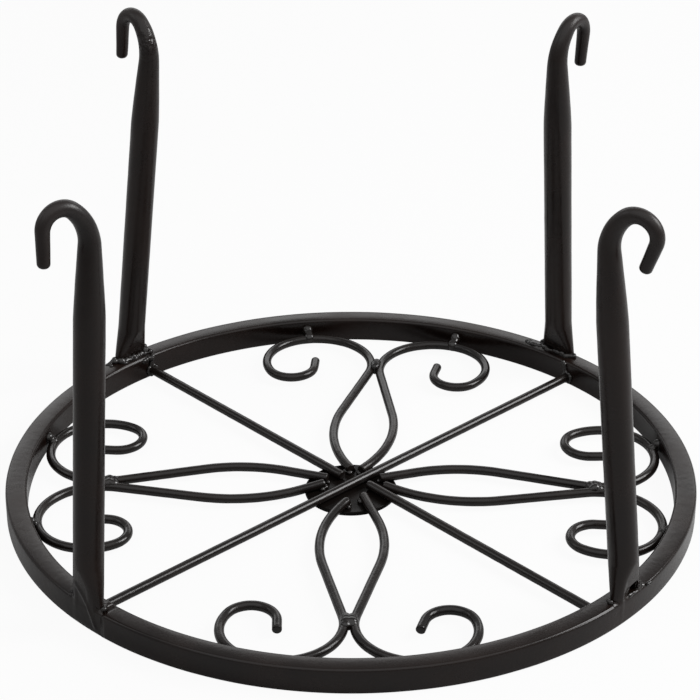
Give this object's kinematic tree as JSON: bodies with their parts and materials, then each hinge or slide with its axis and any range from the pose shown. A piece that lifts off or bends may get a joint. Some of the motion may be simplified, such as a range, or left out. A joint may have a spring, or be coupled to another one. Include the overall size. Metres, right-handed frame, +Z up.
{
  "type": "plant stand",
  "caption": "Round welded wire and tube stand for a plant pot, with a scrollwork grate inside a rim and hooked legs rising from it.",
  "frame": {"origin": "centre of the rim's underside, which stands on the floor", "axes": "+Z up along the legs, -Y towards the front petal of the grate, +X to the right"},
  "size_m": [0.305, 0.305, 0.1885],
  "materials": {
    "tube_paint": "gloss",
    "wire_paint": "gloss",
    "plate_paint": "semi-gloss",
    "weld_paint": "semi-gloss, uneven"
  },
  "bodies": {
    "root": {"rim": "tube_paint", "leg_front_left": "tube_paint", "leg_front_right": "tube_paint", "leg_back_left": "tube_paint", "leg_back_right": "tube_paint", "long_rod": "wire_paint", "short_rod_back_left": "wire_paint", "short_rod_front_right": "wire_paint", "scroll_wire_right_front": "wire_paint", "scroll_wire_right_back": "wire_paint", "scroll_wire_back_right": "wire_paint", "scroll_wire_back_left": "wire_paint", "scroll_wire_left_back": "wire_paint", "scroll_wire_left_front": "wire_paint", "scroll_wire_front_left": "wire_paint", "scroll_wire_front_right": "wire_paint", "hub_disc": "plate_paint", "rim_seam_weld": "weld_paint", "hub_tacks": "weld_paint", "foot_weld_front_left": "weld_paint", "foot_weld_front_right": "weld_paint", "foot_weld_back_left": "weld_paint", "foot_weld_back_right": "weld_paint", "rod_weld_front_left": "weld_paint", "rod_weld_front_right": "weld_paint", "rod_weld_back_left": "weld_paint", "rod_weld_back_right": "weld_paint", "junction_weld_right": "weld_paint", "junction_weld_back": "weld_paint", "junction_weld_left": "weld_paint", "junction_weld_front": "weld_paint", "scroll_tack_right_front": "weld_paint", "scroll_tack_right_back": "weld_paint", "scroll_tack_back_right": "weld_paint", "scroll_tack_back_left": "weld_paint", "scroll_tack_left_back": "weld_paint", "scroll_tack_left_front": "weld_paint", "scroll_tack_front_left": "weld_paint", "scroll_tack_front_right": "weld_paint"}
  },
  "joints": []
}
